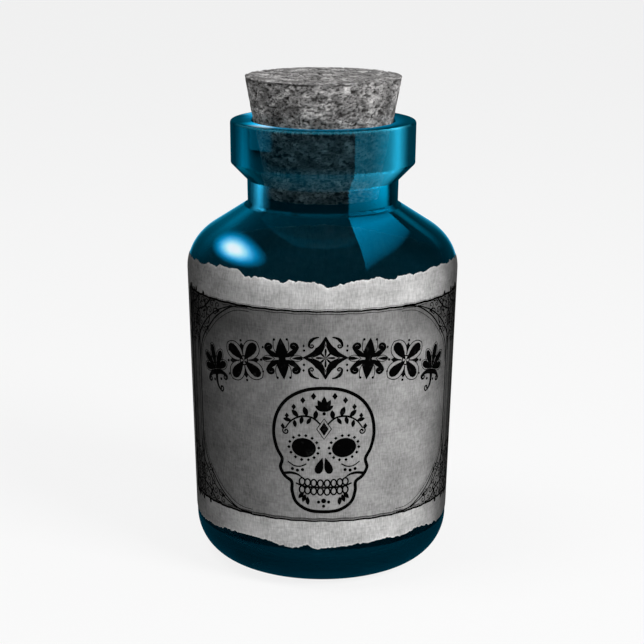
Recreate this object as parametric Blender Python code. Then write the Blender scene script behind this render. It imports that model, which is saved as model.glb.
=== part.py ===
"""Corked apothecary bottle with a torn paper label wrapped round its body.

Three pieces: the glass bottle, the tapered cork in its mouth, and the label.
Metres, +Z up. The origin is at the middle of the base, on the surface that the
bottle stands on. The front of the label faces -Y.
"""
import math

import bmesh
import bpy

# Glass body, outside
shoulder_radius = 0.0325          # widest, just under the shoulder
heel_radius = 0.0309              # the side tapers in a little towards the base
shoulder_height = 0.0722          # where the side ends and the dome of the shoulder starts
shoulder_round_width = 0.0143
shoulder_round_height = 0.0121
shoulder_round_degrees = 52.6     # how far the dome curves before it runs on as a cone
heel_round_width = 0.0093
heel_round_height = 0.0104

# Neck and collar, outside
neck_foot_radius = 0.0180
neck_top_radius = 0.0181
neck_length = 0.0057
neck_foot_fillet = 0.0008
collar_chamfer_height = 0.0040
collar_foot_radius = 0.0220
collar_top_radius = 0.0221
collar_height = 0.0100
lip_round = 0.0007

# Glass thickness and base
body_wall = 0.0030
base_thickness = 0.0045
rest_ring_width = 0.0030          # the flat ring that the bottle stands on
punt_rise = 0.0028                # how far the base is pushed up inside that ring
mouth_round = 0.0006
throat_round = 0.0015

# Cork
cork_lip_radius = 0.0167          # the cork's radius where it enters the mouth
cork_taper_share = 0.1855         # radius gained for each unit of height
cork_seated_depth = 0.01805
cork_stand_out = 0.01045          # what shows above the lip
cork_edge_chamfer = 0.0004
cork_clearance = 0.0003           # between the cork and the taper of the mouth

# Label
label_bottom = 0.0117             # middle of the torn lower edge
label_height = 0.0638
label_thickness = 0.00025
label_clearance = 0.0003          # between the paper and the glass
label_seam_gap = 0.0008           # between the two ends, at the back
tear_depth = 0.0015               # the deepest notch of the torn edges

# Each tear in an edge: where it is round the body in degrees from the front, how wide
# it is in degrees, and how far it stands out (+) or is torn in (-) as a share of tear_depth
top_tear_shares = (
    (-48, 11, 0.6), (-31, 3, -0.3), (-16.5, 2, -0.5), (2.8, 3, -1.0),
    (22, 6, 0.2), (30, 3, -0.2), (38, 4, 0.3), (55, 7, 0.4),
    (92, 9, -0.5), (118, 6, 0.4), (146, 12, -0.6), (-104, 10, -0.5), (-140, 14, 0.5),
)
bottom_tear_shares = (
    (-31, 9, 0.5), (-14, 4, -0.1), (0, 11, -0.4), (-6, 1.6, 0.3), (28, 8, 0.4),
    (60, 9, -0.3), (-66, 8, -0.3), (100, 12, 0.6), (133, 7, -0.5), (-112, 10, -0.6), (-150, 9, 0.4),
)

# How finely the round forms are divided
turn_steps = 60
label_steps = 118
arc_steps = 8
fillet_steps = 3
merge_distance = 0.000001
full_turn = 2 * math.pi
quarter_turn = math.pi / 2


def clear_scene():
    """Empty the scene, so that it holds only this part."""
    for thing in list(bpy.data.objects):
        bpy.data.objects.remove(thing, do_unlink=True)


def plain_material(name, colour, roughness, transmission=0.0):
    """A Principled material with one colour."""
    material = bpy.data.materials.new(name)
    material.use_nodes = True
    shader = material.node_tree.nodes["Principled BSDF"]
    shader.inputs["Base Color"].default_value = (*colour, 1.0)
    shader.inputs["Roughness"].default_value = roughness
    shader.inputs["Metallic"].default_value = 0.0
    shader.inputs["Transmission Weight"].default_value = transmission
    return material


def ellipse_arc(centre, width, height, start, end, steps):
    """Points (radius, height) on an ellipse, from one angle to another."""
    points = []
    for step in range(steps + 1):
        angle = start + (end - start) * step / steps
        points.append((centre[0] + width * math.cos(angle), centre[1] + height * math.sin(angle)))
    return points


def round_corner(before, corner, after, radius):
    """A fillet at a corner of an outline: the points of an arc that touches both lines."""
    to_before = (before[0] - corner[0], before[1] - corner[1])
    to_after = (after[0] - corner[0], after[1] - corner[1])
    reach_before = math.hypot(*to_before)
    reach_after = math.hypot(*to_after)
    unit_before = (to_before[0] / reach_before, to_before[1] / reach_before)
    unit_after = (to_after[0] / reach_after, to_after[1] / reach_after)
    cosine = unit_before[0] * unit_after[0] + unit_before[1] * unit_after[1]
    half_angle = math.acos(cosine) / 2
    setback = min(radius / math.tan(half_angle), reach_before / 2, reach_after / 2)
    start = (corner[0] + unit_before[0] * setback, corner[1] + unit_before[1] * setback)
    end = (corner[0] + unit_after[0] * setback, corner[1] + unit_after[1] * setback)
    points = []
    for step in range(fillet_steps + 1):
        share = step / fillet_steps
        near = (1 - share) ** 2
        middle = 2 * share * (1 - share)
        far = share ** 2
        points.append((near * start[0] + middle * corner[0] + far * end[0],
                       near * start[1] + middle * corner[1] + far * end[1]))
    return points


def dome(wall):
    """The shoulder's dome, a wall's depth inside the glass, from its top end down to the side."""
    centre = (shoulder_radius - shoulder_round_width, shoulder_height)
    return ellipse_arc(centre, shoulder_round_width - wall, shoulder_round_height - wall,
                       math.radians(shoulder_round_degrees), 0, arc_steps)


def cone_slope(wall):
    """Height gained per unit of radius where the dome runs on as a cone: it is negative."""
    angle = math.radians(shoulder_round_degrees)
    rise = (shoulder_round_height - wall) * math.cos(angle)
    run = (shoulder_round_width - wall) * math.sin(angle)
    return -rise / run


def neck_foot_height():
    """Where the shoulder's cone meets the neck."""
    end_radius, end_height = dome(0)[0]
    return end_height + (neck_foot_radius - end_radius) * cone_slope(0)


def lip_height():
    """The flat top of the collar."""
    return neck_foot_height() + neck_length + collar_chamfer_height + collar_height


def cork_radius(height):
    """The cork's radius at a height above the base of the bottle."""
    return cork_lip_radius + (height - lip_height()) * cork_taper_share


def mouth_radius(height):
    """The mouth's taper, which follows the cork."""
    return cork_radius(height) + cork_clearance


def throat():
    """Where the taper of the mouth opens into the hollow under the shoulder."""
    end_radius, end_height = dome(body_wall)[0]
    slope = cone_slope(body_wall)
    height = end_height + slope * (mouth_radius(end_height) - end_radius)
    height = end_height + (height - end_height) / (1 - slope * cork_taper_share)
    return mouth_radius(height), height


def base_outline():
    """The underside, from its middle out to the heel."""
    ring_outer = heel_radius - heel_round_width
    ring_inner = ring_outer - rest_ring_width
    punt = ellipse_arc((0, 0), ring_inner, punt_rise, quarter_turn, 0, arc_steps // 2)
    return [(0, punt_rise)] + punt[1:]


def side_outline():
    """The outside of the glass, from the resting ring up to the foot of the neck."""
    heel_centre = (heel_radius - heel_round_width, heel_round_height)
    heel = ellipse_arc(heel_centre, heel_round_width, heel_round_height, -quarter_turn, 0, arc_steps)
    shoulder = list(reversed(dome(0)))
    neck_foot = (neck_foot_radius, neck_foot_height())
    neck_top = (neck_top_radius, neck_foot_height() + neck_length)
    return heel + shoulder + round_corner(shoulder[-1], neck_foot, neck_top, neck_foot_fillet)


def collar_outline():
    """The collar, from the top of the neck to the edge of the mouth."""
    chamfer_foot = lip_height() - collar_height - collar_chamfer_height
    side_foot = (collar_foot_radius, lip_height() - collar_height)
    top_edge = (collar_top_radius, lip_height())
    mouth_edge = (mouth_radius(lip_height()), lip_height())
    outline = [(neck_top_radius, chamfer_foot), side_foot]
    outline += round_corner(side_foot, top_edge, mouth_edge, lip_round)
    outline += round_corner(top_edge, mouth_edge, throat(), mouth_round)
    return outline


def inside_outline():
    """The inside of the glass, from the throat down to the middle of the floor."""
    shoulder = dome(body_wall)
    mouth_edge = (mouth_radius(lip_height()), lip_height())
    heel_centre = (heel_radius - heel_round_width, heel_round_height)
    heel = ellipse_arc(heel_centre, heel_round_width - body_wall, heel_round_height - base_thickness,
                       0, -quarter_turn, arc_steps)
    floor = ellipse_arc((0, base_thickness), heel_centre[0], punt_rise, 0, quarter_turn, arc_steps // 2)
    outline = round_corner(mouth_edge, throat(), shoulder[0], throat_round)
    outline += shoulder + heel + floor[1:-1]
    outline.append((0, base_thickness + punt_rise))
    return outline


def turned_body(name, outline, material):
    """Spin an outline of (radius, height) points round the Z axis into one closed body."""
    form = bmesh.new()
    points = [form.verts.new((radius, 0, height)) for radius, height in outline]
    edges = [form.edges.new(pair) for pair in zip(points, points[1:])]
    bmesh.ops.spin(form, geom=points + edges, cent=(0, 0, 0), axis=(0, 0, 1),
                   angle=full_turn, steps=turn_steps, use_merge=True, use_duplicate=False)
    bmesh.ops.remove_doubles(form, verts=form.verts, dist=merge_distance)
    bmesh.ops.recalc_face_normals(form, faces=form.faces)
    return add_object(name, form, material)


def add_object(name, form, material):
    """Put a finished bmesh in the scene as a smooth-shaded object."""
    mesh = bpy.data.meshes.new(name)
    form.to_mesh(mesh)
    form.free()
    mesh.materials.append(material)
    mesh.shade_smooth()
    mesh.set_sharp_from_angle(angle=math.radians(30))
    body = bpy.data.objects.new(name, mesh)
    bpy.context.scene.collection.objects.link(body)
    return body


def glass_bottle():
    """The bottle itself: one piece of thick blue glass, open at the mouth."""
    material = plain_material("blue glass", (0.004, 0.13, 0.21), 0.05, 0.9)
    outline = base_outline() + side_outline() + collar_outline() + inside_outline()
    return turned_body("glass_bottle", outline, material)


def cork_stopper():
    """The tapered cork, with its origin on the axis that it is pulled along."""
    material = plain_material("grey pressed cork", (0.21, 0.2, 0.19), 0.85)
    foot_height = lip_height() - cork_seated_depth
    length = cork_seated_depth + cork_stand_out
    foot_radius = cork_radius(foot_height)
    top_radius = cork_radius(foot_height + length)
    outline = [
        (0, 0),
        (foot_radius - cork_edge_chamfer, 0),
        (foot_radius, cork_edge_chamfer),
        (top_radius, length - cork_edge_chamfer),
        (top_radius - cork_edge_chamfer, length),
        (0, length),
    ]
    cork = turned_body("cork_stopper", outline, material)
    cork.location = (0, 0, foot_height)
    return cork


def torn_offset(degrees, tear_shares):
    """How far an edge of the label stands off its middle line at one place round the body."""
    offset = 0
    for place, width, share in tear_shares:
        away = (degrees - place + 180) % 360 - 180
        offset += tear_depth * share * math.exp(-(away / width) ** 2)
    return offset


def glass_radius(height, side):
    """The outside radius of the glass at a height, read along its outline."""
    for (low_radius, low), (high_radius, high) in zip(side, side[1:]):
        if low <= height <= high and high > low:
            share = (height - low) / (high - low)
            return low_radius + (high_radius - low_radius) * share
    return side[-1][0]


def paper_label():
    """The label: a sheet that follows the glass nearly all the way round."""
    material = plain_material("aged grey paper", (0.26, 0.26, 0.25), 0.9)
    side = side_outline()
    label_top = label_bottom + label_height
    rows = [label_bottom]
    rows += [height for _, height in side if label_bottom < height < label_top]
    rows.append(label_top)
    form = bmesh.new()
    half_gap = math.degrees(label_seam_gap / heel_radius) / 2
    columns = []
    for step in range(label_steps + 1):
        degrees = -180 + half_gap + (360 - 2 * half_gap) * step / label_steps
        angle = math.radians(degrees)
        low = label_bottom + torn_offset(degrees, bottom_tear_shares)
        high = label_top + torn_offset(degrees, top_tear_shares)
        column = []
        for row in rows:
            height = low + (high - low) * (row - label_bottom) / label_height
            radius = glass_radius(height, side) + label_clearance
            column.append(form.verts.new((radius * math.sin(angle), -radius * math.cos(angle), height)))
        columns.append(column)
    for left, right in zip(columns, columns[1:]):
        for row in range(len(rows) - 1):
            form.faces.new((left[row], right[row], right[row + 1], left[row + 1]))
    label = add_object("paper_label", form, material)
    sheet = label.modifiers.new("paper thickness", 'SOLIDIFY')
    sheet.thickness = label_thickness
    sheet.offset = 1
    return label


def build():
    clear_scene()
    glass_bottle()
    cork_stopper()
    paper_label()


build()
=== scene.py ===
"""Looks of a corked apothecary bottle: thick blue glass, a pressed grey cork and a torn paper label."""
import math

import bpy
from mathutils import Matrix, Vector, noise
from mathutils.geometry import delaunay_2d_cdt


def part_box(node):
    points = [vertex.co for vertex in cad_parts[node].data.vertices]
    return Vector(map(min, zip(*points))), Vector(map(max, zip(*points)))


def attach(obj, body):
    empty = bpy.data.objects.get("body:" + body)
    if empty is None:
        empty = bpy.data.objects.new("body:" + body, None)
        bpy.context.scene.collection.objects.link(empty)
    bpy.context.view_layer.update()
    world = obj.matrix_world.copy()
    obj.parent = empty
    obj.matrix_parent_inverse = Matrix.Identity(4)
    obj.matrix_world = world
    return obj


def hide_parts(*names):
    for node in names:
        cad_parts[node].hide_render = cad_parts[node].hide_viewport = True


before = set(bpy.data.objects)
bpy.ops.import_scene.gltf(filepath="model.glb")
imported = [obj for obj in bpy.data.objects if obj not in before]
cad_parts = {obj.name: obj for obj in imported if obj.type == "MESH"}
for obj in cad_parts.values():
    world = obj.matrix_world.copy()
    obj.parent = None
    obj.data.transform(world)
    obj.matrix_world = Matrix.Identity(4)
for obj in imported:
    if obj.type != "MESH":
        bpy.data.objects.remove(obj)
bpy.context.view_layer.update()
lip_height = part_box("glass_bottle")[1].z
cork_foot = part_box("cork_stopper")[0].z
cork_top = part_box("cork_stopper")[1].z

# Camera: its place, how far it looks down, and its small roll
camera_distance = 0.402
camera_height = 0.1616
camera_pitch_degrees = 14.5
camera_roll_degrees = 0.29
camera_offset = -0.00005
camera_place = Vector((camera_offset, -camera_distance, camera_height))
camera_lens = 95.0
sensor_width = 36.0

# Glass, outside
shoulder_radius = 0.0325
heel_radius = 0.0309
shoulder_height = 0.0722
shoulder_round_width = 0.0143
shoulder_round_height = 0.0121
shoulder_round_degrees = 52.6
heel_round_width = 0.0093
heel_round_height = 0.0104
neck_foot_radius = 0.0180
neck_top_radius = 0.0181
neck_length = 0.0057
neck_foot_fillet = 0.0008
collar_foot_radius = 0.0220
collar_top_radius = 0.0221
collar_height = 0.0100
collar_edge_round = 0.0004
lip_round = 0.0007

# Glass, thickness and base
body_wall = 0.0030
base_thickness = 0.0045
rest_ring_width = 0.0030
rest_ring_round = 0.0006
punt_rise = 0.0028
mouth_round = 0.0006
throat_round = 0.0015

# Cork
cork_lip_radius = 0.0167
cork_taper_share = 0.1855
cork_clearance = 0.0003
cork_edge_round = 0.00025
cork_sides = 420
cork_ring_step = 0.00028
warp_seed = 5                    # fixes the draw behind noise_vector, which bends the granules
granule_scale = 640              # granules to a metre
pit_depth = 0.0004
cork_roughness = 0.00006         # how far the face is uneven between its pits

# Label. A tear is its place and its width in degrees round the body, and its share of tear_depth
label_bottom = 0.0117
label_height = 0.0638
label_overlap_degrees = 3.0
overlap_lift = 0.00026
label_lift = 0.00002             # the paper's inner face above the glass
label_thickness = 0.0001
label_columns = 900
label_rows = 40
tear_depth = 0.0015
top_tear_shares = (
    (-48, 11, 0.6), (-38, 5, 0.3), (-31, 3, -0.3), (-16.5, 2, -0.5), (2.8, 3, -0.8),
    (3, 20, -0.38), (9, 3, -0.25), (22, 6, 0.1), (30, 3, -0.2), (55, 7, 0.2),
    (92, 9, -0.5), (118, 6, 0.4), (146, 12, -0.6), (-104, 10, -0.5), (-140, 14, 0.5),
)
bottom_tear_shares = (
    (-44, 6, 0.4), (-31, 9, 0.5), (-14, 5, -0.4), (0, 11, -0.4), (-6, 1.6, 0.3), (30, 7, 0.2),
    (49, 7, 0.5), (66, 7, -0.3), (-66, 8, -0.3), (100, 12, 0.6), (133, 7, -0.5), (-112, 10, -0.6),
    (-150, 9, 0.4),
)

# Print, in millimetres where it is drawn
millimetre = 0.001
print_radius = 0.0320            # what turns a place on the flat print into an angle round the bottle
print_middle = 0.8
panel_middle = 43.15
panel_half_height = 25.25
row_rise = 14.4                  # the row of ornaments above the panel's middle, and how it arches
row_drop = 6.4
row_reach = 34.0
ornament_scale = 1.13
ornament_lean_share = 0.8        # how much of the arch's slope the ornaments follow
skull_place = (-0.25, -7.8)      # from the panel's middle
corner_slant = (0.595, 0.804)    # the way from the panel's middle to its cut corners
fold_spacing = 1.0               # the ink is cut upright at this spacing, so that it bends round the glass
ink_merge_distance = 0.0002
ink_lift = 0.00001
ink_thickness = 0.00002

# Light
white = (1, 1, 1, 1)
soft_light = 0.205               # even light from all round
mirrored_front = (0, 0.21, 0.35, 1)
mirrored_back = (0, 0.068, 0.113, 1)
mirrored_floor = (0, 0.05, 0.085, 1)
seen_through = (0, 0.012, 0.019, 1)  # what the glass shows behind it
floor_width = 12
floor_whiteness = 0.845          # to the camera; the rest is matt and takes the shadow
lamp_distance = 0.8
lamp_size = 0.3
lamp_aim_height = 0.06
card_distance = 0.0005           # from the glass to the cards that make its highlights
glass_ior = 1.12
coat_ior = 1.5

# Heights on the glass that several highlights share, and a strength that is the same all the way
shoulder_low = 0.0755
shoulder_high = 0.0870
neck_low = 0.0882
neck_high = 0.0931
chamfer_low = 0.0934
collar_low = 0.09762
collar_high = 0.10685
even = {0: 1, 1: 1}

# How finely the round forms are divided
glass_sides = 192
arc_steps = 24
fillet_steps = 7
merge_distance = 0.000005
smooth_angle = math.radians(50)
quarter_turn = math.pi / 2


def linear(hex_colour):
    """An sRGB hex colour as linear red, green, blue and alpha."""
    parts = [int(hex_colour[place:place + 2], 16) / 255 for place in (0, 2, 4)]
    return (*[part / 12.92 if part <= 0.04045 else ((part + 0.055) / 1.055) ** 2.4 for part in parts], 1)


def alone(piece):
    """Select one piece and nothing else, and make it active."""
    bpy.ops.object.select_all(action='DESELECT')
    piece.select_set(True)
    bpy.context.view_layer.objects.active = piece


def arc(centre, width, height, start, end, steps=arc_steps):
    """Points (radius, height) along an ellipse between two angles."""
    angles = [start + (end - start) * step / steps for step in range(steps + 1)]
    return [(centre[0] + width * math.cos(a), centre[1] + height * math.sin(a)) for a in angles]


def fillet(before, corner, after, radius):
    """A rounded corner of an outline."""
    before, corner, after = Vector(before), Vector(corner), Vector(after)
    half_angle = (before - corner).angle(after - corner) / 2
    setback = min(radius / math.tan(half_angle), (before - corner).length / 2, (after - corner).length / 2)
    start = corner + (before - corner).normalized() * setback
    end = corner + (after - corner).normalized() * setback
    shares = [step / fillet_steps for step in range(fillet_steps + 1)]
    return [tuple(start * (1 - s) ** 2 + corner * 2 * s * (1 - s) + end * s ** 2) for s in shares]


def dome(wall):
    """The shoulder's dome, a wall's depth inside the glass, from its top end down to the side."""
    centre = (shoulder_radius - shoulder_round_width, shoulder_height)
    return arc(centre, shoulder_round_width - wall, shoulder_round_height - wall,
               math.radians(shoulder_round_degrees), 0)


def cone_slope(wall):
    """Height gained per unit of radius on the cone above the dome."""
    angle = math.radians(shoulder_round_degrees)
    return -((shoulder_round_height - wall) * math.cos(angle)
             / ((shoulder_round_width - wall) * math.sin(angle)))


def mouth_radius(height):
    """The taper of the mouth, which follows the cork."""
    return cork_lip_radius + cork_clearance + (height - lip_height) * cork_taper_share


def side_outline():
    """The outside of the glass, from the resting ring up to the neck."""
    heel_centre = (heel_radius - heel_round_width, heel_round_height)
    heel = arc(heel_centre, heel_round_width, heel_round_height, -quarter_turn, 0)
    shoulder = list(reversed(dome(0)))
    end_radius, end_height = shoulder[-1]
    foot = (neck_foot_radius, end_height + (neck_foot_radius - end_radius) * cone_slope(0))
    top = (neck_top_radius, foot[1] + neck_length)
    return heel + shoulder + fillet(shoulder[-1], foot, top, neck_foot_fillet) + [top]


def outside_outline():
    """The outside of the glass from the resting ring up to the lip."""
    side = side_outline()
    side_foot = (collar_foot_radius, lip_height - collar_height)
    edge = (collar_top_radius, lip_height)
    mouth = (mouth_radius(lip_height), lip_height)
    return (side + fillet(side[-1], side_foot, edge, collar_edge_round)
            + fillet(side_foot, edge, mouth, lip_round))


def glass_outline():
    """The whole outline of the glass: under the base, up the outside and down the inside."""
    ring_outer = heel_radius - heel_round_width
    ring_inner = ring_outer - rest_ring_width
    punt = arc((0, 0), ring_inner, punt_rise, quarter_turn, 0)
    base = [(0, punt_rise)] + punt[1:-1] + fillet(punt[-2], punt[-1], (ring_outer, 0), rest_ring_round)
    edge = (collar_top_radius, lip_height)
    mouth = (mouth_radius(lip_height), lip_height)
    inner_dome = dome(body_wall)
    slope = cone_slope(body_wall)
    rise = slope * (mouth_radius(inner_dome[0][1]) - inner_dome[0][0]) / (1 - slope * cork_taper_share)
    throat = (mouth_radius(inner_dome[0][1] + rise), inner_dome[0][1] + rise)
    mouth_edge = fillet(edge, mouth, throat, mouth_round)
    throat_edge = fillet(mouth, throat, inner_dome[0], throat_round)
    heel_centre = (ring_outer, heel_round_height)
    inner_heel = arc(heel_centre, heel_round_width - body_wall, heel_round_height - base_thickness,
                     0, -quarter_turn)
    floor = arc((0, base_thickness), ring_outer, punt_rise, 0, quarter_turn)
    return (base + outside_outline() + mouth_edge + throat_edge + inner_dome
            + inner_heel + floor[1:-1] + [(0, base_thickness + punt_rise)])


def profile(name, points):
    """A line of points (radius, height) in the XZ plane, drawn by extruding one corner after another."""
    bpy.ops.object.select_all(action='DESELECT')
    bpy.ops.mesh.primitive_plane_add(size=0.001)
    piece = bpy.context.object
    piece.name = name
    bpy.ops.object.mode_set(mode='EDIT')
    bpy.ops.mesh.merge(type='CENTER')
    place = Vector((points[0][0], 0, points[0][1]))
    bpy.ops.transform.translate(value=place)
    for radius, height in points[1:]:
        step = Vector((radius, 0, height)) - place
        bpy.ops.mesh.extrude_region_move(TRANSFORM_OT_translate={"value": step})
        place += step
    return piece


def turned(name, points, sides):
    """A round piece: an outline that starts and ends on the axis, spun once round as on a lathe."""
    piece = profile(name, points)
    bpy.ops.object.mode_set(mode='OBJECT')
    lathe = piece.modifiers.new("lathe", 'SCREW')
    lathe.steps = sides
    lathe.render_steps = sides
    lathe.use_merge_vertices = True
    lathe.merge_threshold = merge_distance
    alone(piece)
    bpy.ops.object.modifier_apply(modifier=lathe.name)
    bpy.ops.object.mode_set(mode='EDIT')
    bpy.ops.mesh.select_all(action='SELECT')
    bpy.ops.mesh.remove_doubles(threshold=merge_distance)
    bpy.ops.mesh.normals_make_consistent(inside=False)
    bpy.ops.object.mode_set(mode='OBJECT')
    bpy.ops.object.shade_smooth_by_angle(angle=smooth_angle)
    return piece


def glass_bottle():
    """The bottle: one thick turned wall from the base up to the lip and back down inside."""
    piece = turned("blue_glass_bottle", glass_outline(), glass_sides)
    piece.data.materials.append(blue_glass())
    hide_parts("glass_bottle")
    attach(piece, "bottle")


def cork_radius(height):
    return cork_lip_radius + (height - lip_height) * cork_taper_share


def spaced(start, end, step):
    """Points on a straight line of an outline, about a step apart, without its last point."""
    start, end = Vector(start), Vector(end)
    count = max(1, round((end - start).length / step))
    return [tuple(start.lerp(end, index / count)) for index in range(count)]


def smooth_step(low, high, value):
    share = min(1, max(0, (value - low) / (high - low)))
    return share * share * (3 - 2 * share)


def cork_pits(place):
    """How deep the surface is pitted at a place, from 0 to 1, and the grey of the granule there."""
    warp = noise.noise_vector(place * 700) * 0.0006
    grains, spots = noise.voronoi((place + warp) * granule_scale)[:2]
    seam = 1 - smooth_step(0.0, 0.14, grains[1] - grains[0])
    open_seam = smooth_step(0.08, 0.40, noise.noise(place * 300 + Vector((7, 3, 1))))
    flat = Vector((place.x, place.y, place.z * 2.4))
    crowd = noise.noise(place * 210 + Vector((3, 8, 6))) * 0.12
    hole = smooth_step(0.30, 0.46, noise.noise(flat * granule_scale + Vector((2, 9, 4))) + crowd)
    small = smooth_step(0.30, 0.46, noise.noise(flat * 1300 + Vector((5, 1, 8))) + crowd)
    grey = noise.cell(spots[0] * 3.7 + Vector((11, 5, 2)))
    return min(1, seam * open_seam * 0.8 + hole * 0.8 + small * 0.8), grey


def cork_stopper():
    """The pressed cork: a dense turned plug whose face is pitted between its granules."""
    edge_low, edge_high = [(cork_radius(height), height) for height in (cork_foot, cork_top)]
    middle_low, middle_high = (0, cork_foot), (0, cork_top)
    low = fillet(middle_low, edge_low, edge_high, cork_edge_round)
    high = fillet(edge_low, edge_high, middle_high, cork_edge_round)
    outline = spaced(middle_low, low[0], cork_ring_step * 4) + low[:-1]
    outline += spaced(low[-1], high[0], cork_ring_step) + high[:-1]
    outline += spaced(high[-1], middle_high, cork_ring_step) + [middle_high]
    piece = turned("pressed_cork", outline, cork_sides)
    places = [vertex.co.copy() for vertex in piece.data.vertices]
    normals = [vertex.normal.copy() for vertex in piece.data.vertices]
    moved, pit_shade_of, grey_of = [], [], []
    noise.seed_set(warp_seed)
    for place, normal in zip(places, normals):
        depth, grey = cork_pits(place)
        below = place.z < cork_top - cork_edge_round
        # A ring just under the top edge is pitted deeper: a shallow groove, darkened as painted shade along
        # the edge
        rim_groove_and_shade = math.exp(-((cork_top - 0.0006 - place.z) / 0.00022) ** 2) if below else 0
        depth = min(1, depth + 0.7 * rim_groove_and_shade * smooth_step(-0.2, 0.3, noise.noise(place * 130)))
        uneven = cork_roughness * (1 - noise.noise(place * 900))
        moved.extend(place - normal * (pit_depth * depth + uneven))
        pit_shade_of.append(depth)
        grey_of.append(grey)
    piece.data.vertices.foreach_set("co", moved)
    # The pit depth also goes to the material, where it darkens the hollows as painted shade
    for name, values in (("pit_shade", pit_shade_of), ("granule", grey_of)):
        piece.data.attributes.new(name, 'FLOAT', 'POINT').data.foreach_set("value", values)
    piece.data.materials.append(pressed_cork())
    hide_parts("cork_stopper")
    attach(piece, "cork")
    piece.visible_glossy = False


def glass_radius(height, side):
    """The outside radius of the glass at a height."""
    for (low_radius, low), (high_radius, high) in zip(side, side[1:]):
        if low <= height <= high and high > low:
            return low_radius + (high_radius - low_radius) * (height - low) / (high - low)
    return side[-1][0]


def torn_offset(degrees, tear_shares):
    """How far an edge of the label stands off its middle line at one place round the body."""
    offset = 0
    for place, width, share in tear_shares:
        away = (degrees - place + 180) % 360 - 180
        offset += tear_depth * share * math.exp(-(away / width) ** 2)
    return offset


def ragged(degrees, seed):
    """The fine raggedness of a torn edge."""
    angle = math.radians(degrees)
    place = Vector((math.cos(angle), math.sin(angle), seed)) * shoulder_radius
    coarse = noise.noise(place * 420) * 0.00040
    fine = noise.noise(place * 1300) * 0.00036
    fibres = noise.noise(place * 3800) * 0.00020
    return coarse + fine + fibres


def label_edges(degrees):
    """The heights of the torn lower and upper edges of the label at one place round the body."""
    low = label_bottom + torn_offset(degrees, bottom_tear_shares) + ragged(degrees, 3.1)
    high = label_bottom + label_height + torn_offset(degrees, top_tear_shares) + ragged(degrees, 8.7)
    return low, high


def paper_label():
    """The label: a flat sheet, torn along its edges, wrapped round the glass and given its thickness."""
    bpy.ops.object.select_all(action='DESELECT')
    bpy.ops.mesh.primitive_grid_add(x_subdivisions=label_columns, y_subdivisions=label_rows, size=1)
    piece = bpy.context.object
    piece.name = "torn_paper_label"
    side = side_outline()
    reach = 180 + label_overlap_degrees / 2
    flat, torn = [], []
    thin = piece.vertex_groups.new(name="paper_thickness")
    edges = {}
    for vertex in piece.data.vertices:
        across, up = vertex.co.x + 0.5, vertex.co.y + 0.5
        up = 0.5 - 0.5 * math.cos(math.pi * up)
        degrees = reach * (2 * across - 1)
        column = round(across * label_columns)
        if column not in edges:
            edges[column] = label_edges(degrees)
        low, high = edges[column]
        height = low + (high - low) * up
        end_wave = noise.noise(Vector((1.7, 0, height * 300))) * 1.2
        end_wave += noise.noise(Vector((5.1, 0, height * 1500))) * 0.4
        degrees += end_wave * (abs(degrees) / 180) ** 24 * (1 if degrees > 0 else -1)
        to_edge = min(height - low, high - height)
        torn.append(1 - smooth_step(0.0001, 0.0005, to_edge))
        thin.add([vertex.index], 0.25 + 0.75 * smooth_step(0, 0.0006, to_edge), 'REPLACE')
        angle = math.radians(degrees)
        lapped = overlap_lift * smooth_step(reach - 7, reach - label_overlap_degrees - 0.5, degrees)
        radius = glass_radius(height, side) + label_lift + lapped
        vertex.co = (radius * math.sin(angle), -radius * math.cos(angle), height)
        flat.append((degrees, height))
    piece.data.attributes.new("torn", 'FLOAT', 'POINT').data.foreach_set("value", torn)
    layer = piece.data.uv_layers[0]
    layer.name = "flat"
    for loop in piece.data.loops:
        degrees, height = flat[loop.vertex_index]
        layer.data[loop.index].uv = (math.radians(degrees) * print_radius, height)
    sheet = piece.modifiers.new("paper thickness", 'SOLIDIFY')
    sheet.thickness = label_thickness
    sheet.offset = 1
    sheet.vertex_group = "paper_thickness"
    alone(piece)
    bpy.ops.object.modifier_apply(modifier=sheet.name)
    bpy.ops.object.shade_smooth_by_angle(angle=smooth_angle)
    piece.data.materials.append(aged_paper())
    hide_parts("paper_label")
    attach(piece, "bottle")


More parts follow.
